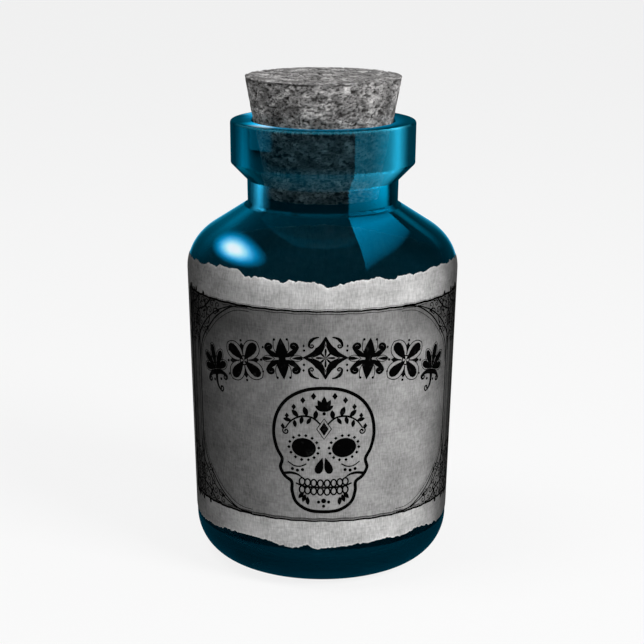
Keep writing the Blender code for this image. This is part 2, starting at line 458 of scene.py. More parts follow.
class Drawing:
    """Flat shapes of printing ink, in millimetres. They stay loose until printed() merges them."""

    def __init__(self, place, points=None, faces=None):
        self.place = place
        self.points = [] if points is None else points
        self.faces = [] if faces is None else faces

    def at(self, x, y, turn=0, width=1, height=1):
        """The same drawing with its own middle, turned and scaled for a motif."""
        move = Matrix.Translation((x, y, 0)) @ Matrix.Rotation(math.radians(turn), 4, 'Z')
        place = self.place @ move @ Matrix.Diagonal((width, height, 1, 1))
        return Drawing(place, self.points, self.faces)

    def mirrored(self):
        """The drawing as it is, and mirrored left to right."""
        return self, self.at(0, 0, width=-1)

    def flipped(self):
        """The drawing as it is, and mirrored top to bottom."""
        return self, self.at(0, 0, height=-1)

    def solid(self, outline):
        """A filled shape. The merging needs its corners counter-clockwise."""
        first = len(self.points)
        corners = [(self.place @ Vector((x, y, 0))).to_2d() for x, y in outline]
        turning = sum(a.x * b.y - b.x * a.y for a, b in zip(corners, corners[1:] + corners[:1]))
        self.points += corners if turning > 0 else list(reversed(corners))
        self.faces.append(list(range(first, len(self.points))))

    def dot(self, x, y, radius):
        self.solid(ring(x, y, radius, radius, 12))

    def stroke(self, line, *widths, closed=False):
        """A pen stroke along a line: its width runs through the widths given, from its start to its end."""
        line = [Vector(point) for point in line]
        around = line[-1:] + line + line[:1] if closed else line[:1] + line + line[-1:]
        stops = {place / max(1, len(widths) - 1): width for place, width in enumerate(widths)}
        edges = []
        for index, point in enumerate(line):
            across = (around[index + 2] - around[index]).normalized().orthogonal()
            width = between(stops, index / (len(line) - 1))
            edges.append((point + across * width / 2, point - across * width / 2, width))
        for start, end in list(zip(edges, edges[1:])) + ([(edges[-1], edges[0])] if closed else []):
            self.solid([start[0], start[1], end[1], end[0]])
        if not closed:
            for point, edge in ((line[0], edges[0]), (line[-1], edges[-1])):
                self.solid(ring(point.x, point.y, edge[2] / 2, edge[2] / 2, 8))


def on_ring(x, y, width, height, degrees):
    """The point of an ellipse at an angle from the right."""
    angle = math.radians(degrees)
    return x + width * math.cos(angle), y + height * math.sin(angle)


def ring(x, y, width, height, steps=24):
    """Points on an ellipse."""
    return [on_ring(x, y, width, height, 360 * step / steps) for step in range(steps)]


def bow(start, pull_start, pull_end, end, steps=12):
    """Points on a cubic curve between two ends."""
    points = []
    for step in range(steps + 1):
        s = step / steps
        shares = ((1 - s) ** 3, 3 * s * (1 - s) ** 2, 3 * s * s * (1 - s), s ** 3)
        parts = list(zip(shares, (start, pull_start, pull_end, end)))
        points.append(tuple(sum(share * corner[axis] for share, corner in parts) for axis in (0, 1)))
    return points


def curl(x, y, outer, inner, start, turns, steps=20):
    """Points on a spiral that winds inwards; turns below 0 wind clockwise."""
    shares = [step / steps for step in range(steps + 1)]
    reaches = [outer + (inner - outer) * share ** 0.8 for share in shares]
    return [on_ring(x, y, reach, reach, start + 360 * turns * share) for reach, share in zip(reaches, shares)]


def swung(x, y, turn, places):
    """Places (along, across) as points round the point given, turned from the right."""
    cosine, sine = math.cos(math.radians(turn)), math.sin(math.radians(turn))
    return [(x + along * cosine - across * sine, y + along * sine + across * cosine)
            for along, across in places]


def drop(x, y, turn, length, width, steps=14):
    """A teardrop: its tip is at the place given and its round end lies along the turn."""
    places = []
    for step in range(steps):
        angle = 2 * math.pi * step / steps
        across = width / 2 * math.sin(angle) * math.sin(angle / 2) ** 1.3
        places.append((length * (1 - math.cos(angle)) / 2, across))
    return swung(x, y, turn, places)


def leaf(x, y, turn, length, width, steps=6):
    """A pointed leaf that starts at the place given."""
    places = []
    for side in (1, -1):
        for step in range(steps):
            share = step / steps if side > 0 else 1 - step / steps
            places.append((length * share, side * width / 2 * math.sin(math.pi * share) ** 0.8))
    return swung(x, y, turn, places)


def diamond(x, y, width, height):
    return [(x + width / 2, y), (x, y + height / 2), (x - width / 2, y), (x, y - height / 2)]


def through(corners, closed=False, steps=6):
    """A smooth line through a few corners."""
    corners = [Vector(corner) for corner in corners]
    around = corners[-1:] + corners + corners[:2] if closed else corners[:1] + corners + corners[-1:]
    points = []
    for before, start, end, after in zip(around, around[1:], around[2:], around[3:]):
        square = 2 * before - 5 * start + 4 * end - after
        cube = 3 * start - before - 3 * end + after
        for s in [step / steps for step in range(steps)]:
            points.append(tuple(0.5 * (2 * start + (end - before) * s + square * s * s + cube * s ** 3)))
    return points if closed else points + [tuple(corners[-1])]


def spear(drawing):
    """An upright leaf with two pairs of curls."""
    side = [(0, 4.4), (0.75, 2.9), (1.25, 1.1), (0.7, 0), (1.25, -1.1), (0.75, -2.9), (0, -4.4)]
    drawing.solid(through(side, steps=4) + through([(-x, y) for x, y in reversed(side)], steps=4)[1:-1])
    for half in drawing.mirrored():
        for quarter in half.flipped():
            quarter.stroke(bow((0.5, 0.5), (1.5, 0.6), (2.6, 1.2), (3.35, 2.3)), 0.5, 1.15, 0.7)
            quarter.stroke(curl(2.55, 2.45, 0.82, 0.22, -10, 1.15), 0.6, 0.3)
            quarter.stroke(bow((1.55, 3.9), (1.6, 2.9), (1.9, 2.0), (0.95, 1.0)), 0.16)
            quarter.dot(2.55, 2.45, 0.3)
            quarter.dot(1.35, 4.0, 0.27)
        half.solid(drop(2.0, 0, 0, 2.2, 1.0))
        for quarter in half.flipped():
            quarter.stroke(bow((1.6, 0), (2.6, 1.0), (3.6, 0.8), (4.4, 0)), 0.14)


def rosette(drawing):
    """Four heavy petals and four diamonds round a small ring."""
    for turn in (45, 135, 225, 315):
        drawing.solid(drop(0, 0, turn, 4.8, 3.0))
        for side in drawing.at(0, 0, turn).flipped():
            side.stroke(bow((0.9, 0.85), (2.3, 2.3), (4.7, 2.3), (5.3, 0)), 0.18)
    drawing.stroke(ring(0, 0, 0.95, 0.95, 16), 0.3, closed=True)
    for turn in (0, 90, 180, 270):
        tip = drawing.at(0, 0, turn)
        tip.solid(diamond(3.0, 0, 1.5, 1.1))
        tip.stroke([(1.3, 0), (2.3, 0)], 0.25)
        tip.dot(4.15, 0, 0.28)


def cartouche(drawing):
    """A heavy four-cornered ring with a small flower in it."""
    corners = ((0, 4.3), (4.3, 0), (0, -4.3), (-4.3, 0))
    for start, end in zip(corners, corners[1:] + corners[:1]):
        middle = ((start[0] + end[0]) * 0.28, (start[1] + end[1]) * 0.28)
        edge = bow(start, middle, middle, end)
        drawing.stroke(edge, 0.35, 1.7, 0.35)
        drawing.stroke([(x * 0.66, y * 0.66) for x, y in edge], 0.14)
    for turn in range(0, 360, 45):
        drawing.solid(drop(0, 0, turn, 1.5 if turn % 90 else 2.0, 0.62))
    for half in drawing.mirrored():
        for quarter in half.flipped():
            quarter.stroke(bow((1.4, 4.3), (2.6, 4.2), (3.4, 3.3), (3.3, 2.4)), 0.25, 0.7, 0.4)
            quarter.stroke(curl(2.75, 2.5, 0.55, 0.15, 0, -1.0, 12), 0.35, 0.22)
            quarter.dot(4.3, 1.5, 0.26)


def palmette(drawing):
    """A fan of petals on a curled foot with a tail."""
    for turn, length in ((90, 5.2), (52, 4.6), (128, 4.6), (16, 3.7), (164, 3.7)):
        drawing.solid(drop(0, -1.1, turn, length, 2.1))
        for side in drawing.at(0, -1.1, turn).flipped():
            side.stroke(bow((1.2, 0.5), (length * 0.5, 1.3), (length, 1.25), (length + 0.35, 0)), 0.14)
    for foot in drawing.mirrored():
        foot.stroke(bow((0, -1.8), (1.2, -1.6), (2.4, -2.0), (3.1, -2.9)), 1.2, 0.9, 0.5)
        foot.stroke(curl(2.5, -3.0, 0.65, 0.18, 10, -1.1, 14), 0.45, 0.25)
        foot.dot(1.1, -3.3, 0.3)
    drawing.stroke(bow((0, -1.8), (0.5, -3.6), (0.6, -5.0), (-0.7, -5.9)), 0.9, 0.6, 0.3)
    drawing.stroke(curl(-0.75, -5.2, 0.7, 0.2, -90, -0.8, 12), 0.3, 0.4)


def row_height(x):
    """The height of the arched row of ornaments at a distance from its middle."""
    return row_rise - row_drop * (x / row_reach) ** 2


def ornament_row(drawing):
    """The arched row of heavy ornaments across the upper part of the panel."""
    for x, motif in ((0, cartouche), (9.9, spear), (19.7, rosette), (29.2, palmette)):
        lean = math.degrees(math.atan(2 * row_drop * x / row_reach ** 2)) * ornament_lean_share
        for side in ((1, -1) if x else (1,)):
            motif(drawing.at(x * side, row_height(x), -lean * side, side * ornament_scale, ornament_scale))
    for x in (4.95, 14.6, 24.1):
        for side in (1, -1):
            for away in (2.9, -2.9):
                drawing.solid(diamond(x * side, row_height(x) + away, 0.55, 0.8))


def spandrel(drawing):
    """Fine scrollwork that fills one corner between the frame and the panel; drawn for the upper right."""
    spots = []
    for row in range(9):
        y = 24.0 - 1.8 * row
        for column in range(11):
            x = 42.3 - 2.1 * column - 1.05 * (row % 2)
            if x * corner_slant[0] + y * corner_slant[1] > 33.3 and y > max(13, 14 - 0.9 * (x - 37)):
                spots.append((x, y))
    for index, (x, y) in enumerate(spots):
        size = 0.86 + 0.13 * ((index * 5) % 3)
        start = (index * 137.5) % 360
        drawing.stroke(curl(x, y, size, 0.16, start, 1.15 if index % 2 else -1.15, 14), 0.26, 0.18)
        drawing.solid(leaf(*on_ring(x, y, size, size, start), start + 75, size * 1.3, size * 0.42))
    stem = ((23.0, 24.7), (27.6, 22.9), (31.2, 20.6), (34.2, 17.9), (36.4, 14.8), (37.3, 11.2))
    drawing.stroke(through(stem), 0.25, 0.45)
    for branch in (((30.4, 24.9), (33.2, 22.6), (36.3, 21.2), (38.2, 18.2), (38.4, 14.6)),
                   ((36.2, 24.9), (38.4, 22.9), (41.0, 21.9), (42.2, 19.0), (41.6, 15.2))):
        drawing.stroke(through(branch), 0.4, 0.3)
    for x, turn, size in ((33.2, 70, 1.3), (33.8, 110, 1.1), (37.4, 90, 1.5), (38.2, 60, 1.2)):
        drawing.solid(leaf(x, 25.2, turn, size, size * 0.6))
    for x, turn, size in ((41.0, 95, 1.9), (41.8, 65, 1.5), (40.2, 125, 1.4)):
        drawing.solid(leaf(x, 25.0, turn, size, size * 0.6))


def frame_lines(drawing):
    """The ruled frame round the printed panel, with its rails and its cut corners."""
    for flip in (1, -1):
        half = drawing.at(0, 0, height=flip)
        wavy = [(x, panel_half_height + 0.07 * math.sin(x * 1.3 + flip) + 0.05 * math.sin(x * 3.1))
                for x in range(-42, 43)]
        half.stroke(wavy, 0.55, 0.36, 0.55)
        half.stroke([(x, y - 0.62) for x, y in wavy[16:-16]], 0.13)
        half.stroke([(x, y + 0.42 * flip) for x, y in wavy[8:-8]], 0.06, 0.12, 0.06)
    corner = through([(18.5, 25.0), (21.5, 24.85), (24.2, 23.9), (28.2, 21.3), (31.3, 18.3), (33.8, 15.6),
                      (35.4, 12.6), (36.1, 9.0)])
    for side in drawing.mirrored():
        for quarter in side.flipped():
            quarter.stroke(corner, 0.25, 0.34, 0.3)
            quarter.stroke([(x * 0.985 - 0.05, y * 0.965 - 0.05) for x, y in corner], 0.12)
            spandrel(quarter)
        for x, width in ((36.2, 0.36), (37.3, 0.16), (39.9, 0.4), (41.1, 0.2), (42.5, 1.1)):
            side.stroke([(x + 0.05 * math.sin(y * 0.9 + x), y) for y in range(-25, 26)], width)


def skull(page):
    """A plain skull, shown from the front, with leaf sprigs, diamonds and dots."""
    drawing = page.at(*skull_place)
    half = [(0, 15.0), (4.6, 14.4), (8.6, 12.1), (11.1, 8.4), (11.9, 4.0), (11.2, 0.2), (9.9, -2.4),
            (10.3, -4.6), (9.2, -6.6), (7.6, -7.9), (7.5, -10.2), (6.5, -12.9), (3.7, -14.7), (0, -15.1)]
    drawing.stroke(through(half + [(-x, y) for x, y in reversed(half[1:-1])], closed=True), 0.8, closed=True)
    for side in drawing.mirrored():
        side.solid([(x + 0.1 * (y - 0.6), y) for x, y in ring(4.7, 0.6, 2.85, 2.35, 28)])
        for x, y in ring(4.7, 0.6, 3.5, 3.0, 14):
            side.solid(diamond(x + 0.1 * (y - 0.6), y, 0.85, 0.85))
        side.solid(drop(0.3, -1.7, 287, 4.2, 2.7))
        side.stroke(through([(9.7, -6.0), (7.8, -5.7), (6.2, -6.0), (5.0, -6.8)]), 0.7, 0.6, 0.2)
        side.stroke(through([(0.9, 6.4), (2.7, 7.9), (5.2, 8.2), (7.5, 7.1), (9.0, 5.2)]), 0.4, 0.46, 0.3)
        for x, y, turn, size in ((2.1, 7.5, 98, 2.3), (3.9, 8.2, 72, 2.5), (5.9, 8.0, 46, 2.3),
                                 (7.6, 7.0, 12, 2.0), (3.0, 7.9, -58, 1.9), (5.0, 8.2, -78, 2.0),
                                 (6.9, 7.3, -98, 1.9)):
            side.solid(leaf(x, y, turn, size, size * 0.5))
        side.stroke(curl(8.9, 4.4, 0.95, 0.2, 70, -1.2, 14), 0.3, 0.4)
        side.stroke(through([(8.4, -3.0), (7.0, -3.9), (5.5, -4.0), (4.2, -3.4)]), 0.25, 0.34)
        for x, y in ((7.4, -4.7), (6.2, -5.0), (5.0, -4.8)):
            side.dot(x, y, 0.4)
        for x, y, turn in ((6.0, -11.9, 130), (5.0, -12.8, 110), (3.7, -13.5, 85)):
            side.solid(leaf(x, y, turn, 2.1, 1.0))
        for step in range(5):
            place = on_ring(0, 2.6, 10.1, 10.8, 76 - 15 * step)
            side.solid(diamond(*place, 1.3 - 0.08 * step, 1.75 - 0.1 * step))
        side.stroke(through([(0, -9.1), (2.6, -9.05), (4.9, -8.8), (6.5, -8.2)]), 0.5, 0.35)
        for x in (0.8, 2.35, 3.8, 5.1):
            for away in (1.0, -1.0):
                side.stroke(ring(x, 0.016 * x * x - 9.1 + away, 0.66, 0.88, 14), 0.38, closed=True)
        for turn, length in ((62, 3.2), (34, 2.6)):
            side.solid(leaf(0, 9.4, turn, length, length * 0.4))
    drawing.solid(diamond(0, 5.2, 2.1, 3.3))
    drawing.stroke(diamond(0, 5.2, 3.4, 5.0), 0.26, closed=True)
    drawing.solid(leaf(0, 9.4, 90, 3.7, 1.35))
    for x, y, size in ((0, 8.9, 0.42), (0, -12.4, 0.6), (-1.2, -12.7, 0.4), (1.2, -12.7, 0.4),
                       (0, -13.7, 0.4)):
        drawing.dot(x, y, size)


def printed(name, drawing):
    """Merge a drawing's shapes, wrap them round the paper and give the ink its thickness."""
    across = [point.x for point in drawing.points]
    upward = [point.y for point in drawing.points]
    left, right, low, high = min(across) - 1, max(across) + 1, min(upward) - 1, max(upward) + 1
    points = list(drawing.points)
    cuts = []
    for x in [left + index * fold_spacing for index in range(int((right - left) / fold_spacing))]:
        cuts.append((len(points), len(points) + 1))
        points += [Vector((x, low)), Vector((x, high))]
    # Type 1 keeps the triangles inside the shapes; those that come from no shape are left out below
    merged, _, faces, _, _, sources = delaunay_2d_cdt(points, cuts, drawing.faces, 1, ink_merge_distance)
    inked = [face for face, source in zip(faces, sources) if source]
    used = sorted({corner for face in inked for corner in face})
    place_of = {corner: index for index, corner in enumerate(used)}
    side = side_outline()
    wrapped = []
    for corner in used:
        angle, height = merged[corner].x * millimetre / print_radius, merged[corner].y * millimetre
        radius = glass_radius(height, side) + label_lift + label_thickness + ink_lift
        wrapped.append((radius * math.sin(angle), -radius * math.cos(angle), height))
    mesh = bpy.data.meshes.new(name)
    mesh.from_pydata(wrapped, [], [[place_of[corner] for corner in face] for face in inked])
    piece = bpy.data.objects.new(name, mesh)
    bpy.context.scene.collection.objects.link(piece)
    film = piece.modifiers.new("ink thickness", 'SOLIDIFY')
    film.thickness = ink_thickness
    film.offset = 1
    alone(piece)
    bpy.ops.object.modifier_apply(modifier=film.name)
    piece.data.materials.append(ink)
    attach(piece, "bottle")


def label_print():
    """Everything that is printed on the label."""
    for name, motif in (("printed_frame", frame_lines), ("printed_ornament_row", ornament_row),
                        ("printed_skull", skull)):
        page = Drawing(Matrix.Translation((print_middle, panel_middle, 0)))
        motif(page)
        printed(name, page)


class Nodes:
    """The shader nodes of one material or world. The short forms return the socket that a node feeds."""

    def __init__(self, owner, output="OutputMaterial", light="Emission"):
        owner.use_nodes = True
        owner.node_tree.nodes.clear()
        self.owner = owner
        self.tree = owner.node_tree
        self.output = self.add(output)
        self.light = light

    def add(self, kind, inputs=None, **settings):
        """Add a node: settings are its properties, inputs are values or the sockets that feed it."""
        made = self.tree.nodes.new("ShaderNode" + kind)
        for name, value in settings.items():
            setattr(made, name, value)
        for name, value in (inputs or {}).items():
            if isinstance(value, bpy.types.NodeSocket):
                self.tree.links.new(value, made.inputs[name])
            else:
                made.inputs[name].default_value = value
        return made

    def show(self, socket, use="Surface"):
        self.tree.links.new(socket, self.output.inputs[use])

    def math(self, operation, first, second=0.0):
        return self.add("Math", {0: first, 1: second}, operation=operation).outputs[0]

    def plus(self, first, *others):
        for other in others:
            first = self.math('ADD', first, other)
        return first

    def times(self, first, *others):
        for other in others:
            first = self.math('MULTIPLY', first, other)
        return first

    def less(self, *shares):
        """What is left of 1 when a product of shares is taken off."""
        return self.math('SUBTRACT', 1.0, self.times(*shares))

    def ramp(self, value, low, high, start=0.0, end=1.0, shape='LINEAR'):
        """Turn the values between low and high into those from start to end."""
        inputs = {0: value, 1: low, 2: high, 3: start, 4: end}
        return self.add("MapRange", inputs, interpolation_type=shape).outputs[0]

    def ease(self, value, low, high, start=0.0, end=1.0):
        """A ramp with a soft start and a soft end."""
        return self.ramp(value, low, high, start, end, 'SMOOTHSTEP')

    def noise(self, place, scale, detail, roughness=0.5):
        inputs = {"Vector": place, "Scale": scale, "Detail": detail, "Roughness": roughness}
        return self.add("TexNoise", inputs).outputs[0]

    def stretched(self, place, scale):
        return self.add("Mapping", {"Vector": place, "Scale": scale}).outputs[0]

    def stored(self, name):
        """A value that the mesh holds for each of its points."""
        return self.add("Attribute", attribute_name=name).outputs["Fac"]

    def blend(self, share, first, second):
        return self.add("Mix", {"Factor": share, 6: first, 7: second}, data_type='RGBA').outputs[2]

    def shaded(self, hex_colour, share):
        inputs = {0: linear(hex_colour)[:3], "Scale": share}
        return self.add("VectorMath", inputs, operation='SCALE').outputs[0]

    def matt(self, colour, roughness, relief=None, depth=0.0, strength=0.0):
        """Show a matt surface, with a fine relief if one is given."""
        inputs = {"Base Color": colour, "Roughness": roughness, "Specular IOR Level": 0.0}
        if relief is not None:
            bump = {"Height": relief, "Distance": depth, "Strength": strength}
            inputs["Normal"] = self.add("Bump", bump).outputs[0]
        self.show(self.add("BsdfPrincipled", inputs).outputs[0])

    def glow(self, colour, strength=1.0):
        return self.add(self.light, {"Color": colour, "Strength": strength}).outputs[0]

    def either(self, share, first, second):
        """The first shader where the share is 0, the second where it is 1."""
        return self.add("MixShader", {0: share, 1: first, 2: second}).outputs[0]


def blue_glass():
    """Soda-lime glass, moulded and fire-polished: smooth, clear and deep teal, darker where it is thick."""
    nodes = Nodes(bpy.data.materials.new("moulded blue glass"))
    glass = nodes.add("BsdfPrincipled", {
        "Base Color": (1, 1, 1, 1),
        "Roughness": 0.0,
        "IOR": glass_ior,
        "Transmission Weight": 1.0,
        "Coat Weight": 1.0,
        "Coat Roughness": 0.02,
        "Coat IOR": coat_ior,
    })
    depth = nodes.add("VolumeAbsorption", {"Color": (0.38, 0.59, 0.65, 1), "Density": 250})
    nodes.show(glass.outputs[0])
    nodes.show(depth.outputs[0], "Volume")
    return nodes.owner


def pressed_cork():
    """Agglomerated cork, ground and pressed: matt granules of unlike grey with dark flecks, and pits darkened
    with painted shade.
    """
    nodes = Nodes(bpy.data.materials.new("pressed grey cork"))
    place = nodes.add("TexCoord").outputs["Object"]
    lying = nodes.stretched(place, (1, 1, 1.8))
    flake = nodes.noise(lying, 700, 8, 0.8)
    granules = nodes.ramp(nodes.stored("granule"), 0.0, 1.0, 0.70, 1.24)
    patches = nodes.ramp(nodes.noise(lying, 260, 3), 0.36, 0.64, 0.58, 1.42)
    flakes = nodes.ramp(flake, 0.35, 0.65, 0.48, 1.54)
    flecks = nodes.ramp(nodes.noise(lying, 1300, 4, 0.7), 0.37, 0.47, 0.12, 1.0)
    off_crack = nodes.math('ABSOLUTE', nodes.math('SUBTRACT', nodes.noise(lying, 420, 5, 0.75), 0.5))
    crack_tone = nodes.ramp(nodes.noise(place, 300, 2), 0.42, 0.56, 1.0, 0.16)
    cracks = nodes.ramp(off_crack, 0.0, 0.024, crack_tone, 1.0)
    shade = nodes.shaded("acaaa9", nodes.times(granules, patches, flakes, flecks, cracks))
    # The pits and seams are darkened as deep as they are: painted shade in the hollows
    nodes.matt(nodes.blend(nodes.stored("pit_shade"), shade, linear("2a2827")), 0.9, flake, 0.0002, 0.5)
    return nodes.owner


def printing_ink():
    """Black printing ink that has sunk into the paper: matt, and thin in places."""
    nodes = Nodes(bpy.data.materials.new("black printing ink"))
    worn = nodes.noise(nodes.add("TexCoord").outputs["Object"], 900, 3)
    nodes.matt(nodes.blend(nodes.ramp(worn, 0.6, 0.85), linear("050505"), linear("2a2a2a")), 0.9)
    return nodes.owner


def aged_paper():
    """Rag paper, printed and aged: matt, fibrous, with a toned panel, pale torn edges, and painted shade that
    darkens its left and right sides and the panel's left half.
    """
    nodes = Nodes(bpy.data.materials.new("aged rag paper"))
    flat = nodes.add("UVMap", uv_map="flat").outputs[0]
    x, y = nodes.add("SeparateXYZ", {0: flat}).outputs[:2]
    risen = nodes.math('SUBTRACT', y, panel_middle * millimetre)
    across = nodes.math('ABSOLUTE', nodes.math('SUBTRACT', x, print_middle * millimetre))
    upward = nodes.math('ABSOLUTE', risen)
    diagonal = nodes.plus(nodes.times(across, corner_slant[0]), nodes.times(upward, corner_slant[1]))

    panel = nodes.times(nodes.ease(upward, 0.0251, 0.0254, 1.0, 0.0),
                        nodes.ease(across, 0.0428, 0.0440, 1.0, 0.0))
    corners = nodes.math('MAXIMUM', nodes.ease(diagonal, 0.0318, 0.0325), nodes.ease(across, 0.0360, 0.0366))
    top_burn = nodes.times(nodes.ease(risen, 0.0105, 0.0215, 0.0, 0.28),
                           nodes.plus(1.0, nodes.ease(diagonal, 0.0262, 0.0318, 0.0, 0.6)))
    printed_tone = nodes.times(nodes.less(panel, top_burn), nodes.less(panel, 0.38),
                               nodes.less(panel, corners, 0.08))

    # Painted shade: darker towards the label's left and right sides, partly the aged print's darker ends, and
    # darker again over the panel's left half; the back is paler
    right_painted_shade = nodes.ease(x, 0.0200, 0.0420, 1.0, 0.13)
    left_painted_shade = nodes.ease(x, -0.0430, -0.0075, 0.17, 1.0)
    panel_painted_shade = nodes.less(nodes.ease(x, -0.0140, 0.0040, 0.38, 0.0), panel)
    pale_back = nodes.ease(across, 0.046, 0.058, 0.0, 0.6)
    painted_shade_and_pale_back = nodes.plus(nodes.times(right_painted_shade, left_painted_shade, panel_painted_shade), pale_back)

    upright = nodes.noise(nodes.stretched(flat, (1, 0.12, 1)), 4200, 3)
    level = nodes.noise(nodes.stretched(flat, (0.15, 1, 1)), 2600, 2)
    cloud = nodes.noise(flat, 130, 6, 0.65)
    speck = nodes.noise(flat, 1300, 4)
    texture = nodes.plus(1.0, nodes.ease(upright, 0.32, 0.68, -0.15, 0.15),
                         nodes.ease(level, 0.3, 0.7, -0.07, 0.07), nodes.ease(cloud, 0.3, 0.7, -0.20, 0.20),
                         nodes.ease(speck, 0.3, 0.7, -0.08, 0.08))
    pale_edge = nodes.plus(1.0, nodes.times(nodes.stored("torn"), 0.35))
    shade = nodes.shaded("c1c0bf", nodes.times(printed_tone, painted_shade_and_pale_back, texture, pale_edge))
    nodes.matt(shade, 0.95, nodes.plus(upright, level, speck), 0.00006, 0.6)
    return nodes.owner


def direction(azimuth_degrees, elevation_degrees):
    """A unit vector: azimuth is from the front, -Y, towards +X, and elevation above the horizon."""
    azimuth, elevation = math.radians(azimuth_degrees), math.radians(elevation_degrees)
    return Vector((math.sin(azimuth) * math.cos(elevation), -math.cos(azimuth) * math.cos(elevation),
                   math.sin(elevation)))


def lamp(name, azimuth, elevation, watts):
    """A soft square lamp, aimed at the middle of the bottle."""
    way = direction(azimuth, elevation)
    bpy.ops.object.light_add(type='AREA', location=Vector((0, 0, lamp_aim_height)) + way * lamp_distance)
    made = bpy.context.object
    made.name = name
    made.data.size = lamp_size
    made.data.energy = watts
    made.rotation_euler = (-way).to_track_quat('-Z', 'Y').to_euler()
    made.visible_glossy = False
    made.visible_transmission = False


def card_glow():
    """Painted highlight on one side of a card: its colour and strength are painted on, it shows only in a
    first mirroring close by, and the rest is clear.
    """
    nodes = Nodes(bpy.data.materials.new("painted highlight card"))
    path = nodes.add("LightPath").outputs
    first = nodes.times(nodes.math('LESS_THAN', path["Ray Depth"], 1.5),
                        nodes.math('LESS_THAN', path["Ray Length"], card_distance * 4))
    behind = nodes.add("NewGeometry").outputs["Backfacing"]
    front = nodes.math('MAXIMUM', nodes.math('SUBTRACT', first, behind), 0.0)
    paint = nodes.add("Attribute", attribute_name="glow").outputs["Color"]
    clear = nodes.add("BsdfTransparent").outputs[0]
    nodes.show(nodes.add("AddShader", {0: nodes.glow(paint, front), 1: clear}).outputs[0])
    return nodes.owner


def card(name, corners, faces, glows):
    """A card that lights nothing and shows only as a highlight in the glass."""
    mesh = bpy.data.meshes.new(name)
    mesh.from_pydata(corners, [], faces)
    paint = mesh.color_attributes.new("glow", 'FLOAT_COLOR', 'POINT')
    paint.data.foreach_set("color", [part for glow in glows for part in (*glow, 1)])
    made = bpy.data.objects.new(name, mesh)
    bpy.context.scene.collection.objects.link(made)
    made.data.materials.append(glowing_card)
    made.visible_camera = False
    made.visible_diffuse = False
    made.visible_transmission = False
    made.visible_volume_scatter = False
    made.visible_shadow = False


def between(stops, place):
    """Read a value at a place from stops: the value at each of some rising places."""
    known = list(stops.items())
    if place <= known[0][0]:
        return known[0][1]
    for (low, low_value), (high, high_value) in zip(known, known[1:]):
        if place <= high:
            return low_value + (high_value - low_value) * (place - low) / (high - low)
    return known[-1][1]


def glass_place(azimuth, height):
    """A place on the outside of the glass, and the way the surface faces there."""
    step = 0.00002
    lean = (glass_radius(height + step, outside) - glass_radius(height - step, outside)) / (2 * step)
    level = direction(azimuth, 0)
    place = level * glass_radius(height, outside) + Vector((0, 0, height))
    return place, (level - Vector((0, 0, lean))).normalized()


def rim_place(azimuth, radius):
    """A place on the flat top of the lip, and the way the surface faces there."""
    return direction(azimuth, 0) * radius + Vector((0, 0, lip_height)), Vector((0, 0, 1))


def mirrored_share(ior, cosine):
    """The share of light that a clear surface mirrors."""
    across = math.sqrt(ior ** 2 - 1 + cosine ** 2)
    level = ((across - cosine) / (across + cosine)) ** 2
    return 0.5 * level * (1 + ((cosine * (across + cosine) - 1) / (cosine * (across - cosine) + 1)) ** 2)


def highlight(name, colour, across, low, high, up=even, place_on=glass_place, slant=even):
    """A painted highlight: a glowing card close over the glass, which shows only where the glass mirrors it.

    across holds the strength at some azimuths, up at some shares of the height, and slant at some cosines
    of the angle between the glass and the view. low and high are heights on the glass, or heights at
    some azimuths.
    """
    columns, rows, least_cosine = 48, 20, 0.02
    start, end = min(across), max(across)
    low, high = [{0: edge} if isinstance(edge, float) else edge for edge in (low, high)]
    corners, rays, glows = [], [], []
    for column in range(columns + 1):
        azimuth = start + (end - start) * column / columns
        bottom, top = between(low, azimuth), between(high, azimuth)
        for row in range(rows + 1):
            share = row / rows
            height = bottom + (top - bottom) * share
            place, facing = place_on(azimuth, height)
            view = (place - camera_place).normalized()
            cosine = max(least_cosine, -view.dot(facing))
            rays.append(view + 2 * cosine * facing)
            corners.append(place + rays[-1] * card_distance)
            coat = mirrored_share(coat_ior, cosine)
            strength = between(across, azimuth) * between(up, share) * between(slant, cosine)
            strength /= coat + (1 - coat) * mirrored_share(glass_ior, cosine)
            shades = linear(colour)[:3] if isinstance(colour, str) else colour(azimuth, height)
            glows.append([part * strength for part in shades])
    faces = []
    for first in [column * (rows + 1) + row for column in range(columns) for row in range(rows)]:
        face = (first, first + rows + 1, first + rows + 2, first + 1)
        a, b, c, d = [corners[corner] for corner in face]
        away = (c - a).cross(d - b).dot(rays[first]) > 0
        faces.append(tuple(reversed(face)) if away else face)
    card(name, corners, faces, glows)


def collar_highlights():
    """Painted highlights: the upright bands round the collar, a faint glow at its dark foot, and the edge of
    the lip.
    """
    highlight("collar highlight", "24aad2", {
        19.1: 0.12, 30: 0.13, 35.4: 0.23, 39.9: 0.34, 44.8: 0.54, 50: 0.97, 52: 1, 56.3: 0.55,
        61.3: 0.17, 64.2: 0.06, 72: 0.03, 80: 0}, collar_low, collar_high)
    highlight("collar edge strip", "005b78", {
        -80: 0, -69: 0.08, -62.5: 0.42, -57.5: 0.97, -53: 0.75, -49.5: 0.18, -46: 0.02, -44: 0},
        collar_low, collar_high, {0: 1.25, 1: 0.85})
    highlight("collar patch", "00394d", {-50: 0.9, -40: 1, -33.5: 0.6, -31: 0}, 0.1022, collar_high)
    glow_top = {-53: 0.1020, -40: 0.1020, -33: 0.0992, 18.9: 0.0988}
    highlight("collar foot glow", "00202c", {-53: 0.5, -47: 1.2, -40: 0.8, -33: 0.35, 18.9: 0.35},
              0.0975, glow_top, {0: 1.2, 0.6: 0.9, 1: 0})
    highlight("lip highlight", "23758c", {
        -70: 0.1, -58: 0.5, -44: 0.75, -20: 0.55, 0: 0.6, 19: 0.8, 35: 1.3, 44: 2.6,
        50: 4.8, 54: 3.8, 60: 0.9, 70: 0.2}, 0.1068, 0.10724, {0: 0, 0.3: 0.7, 1: 1})


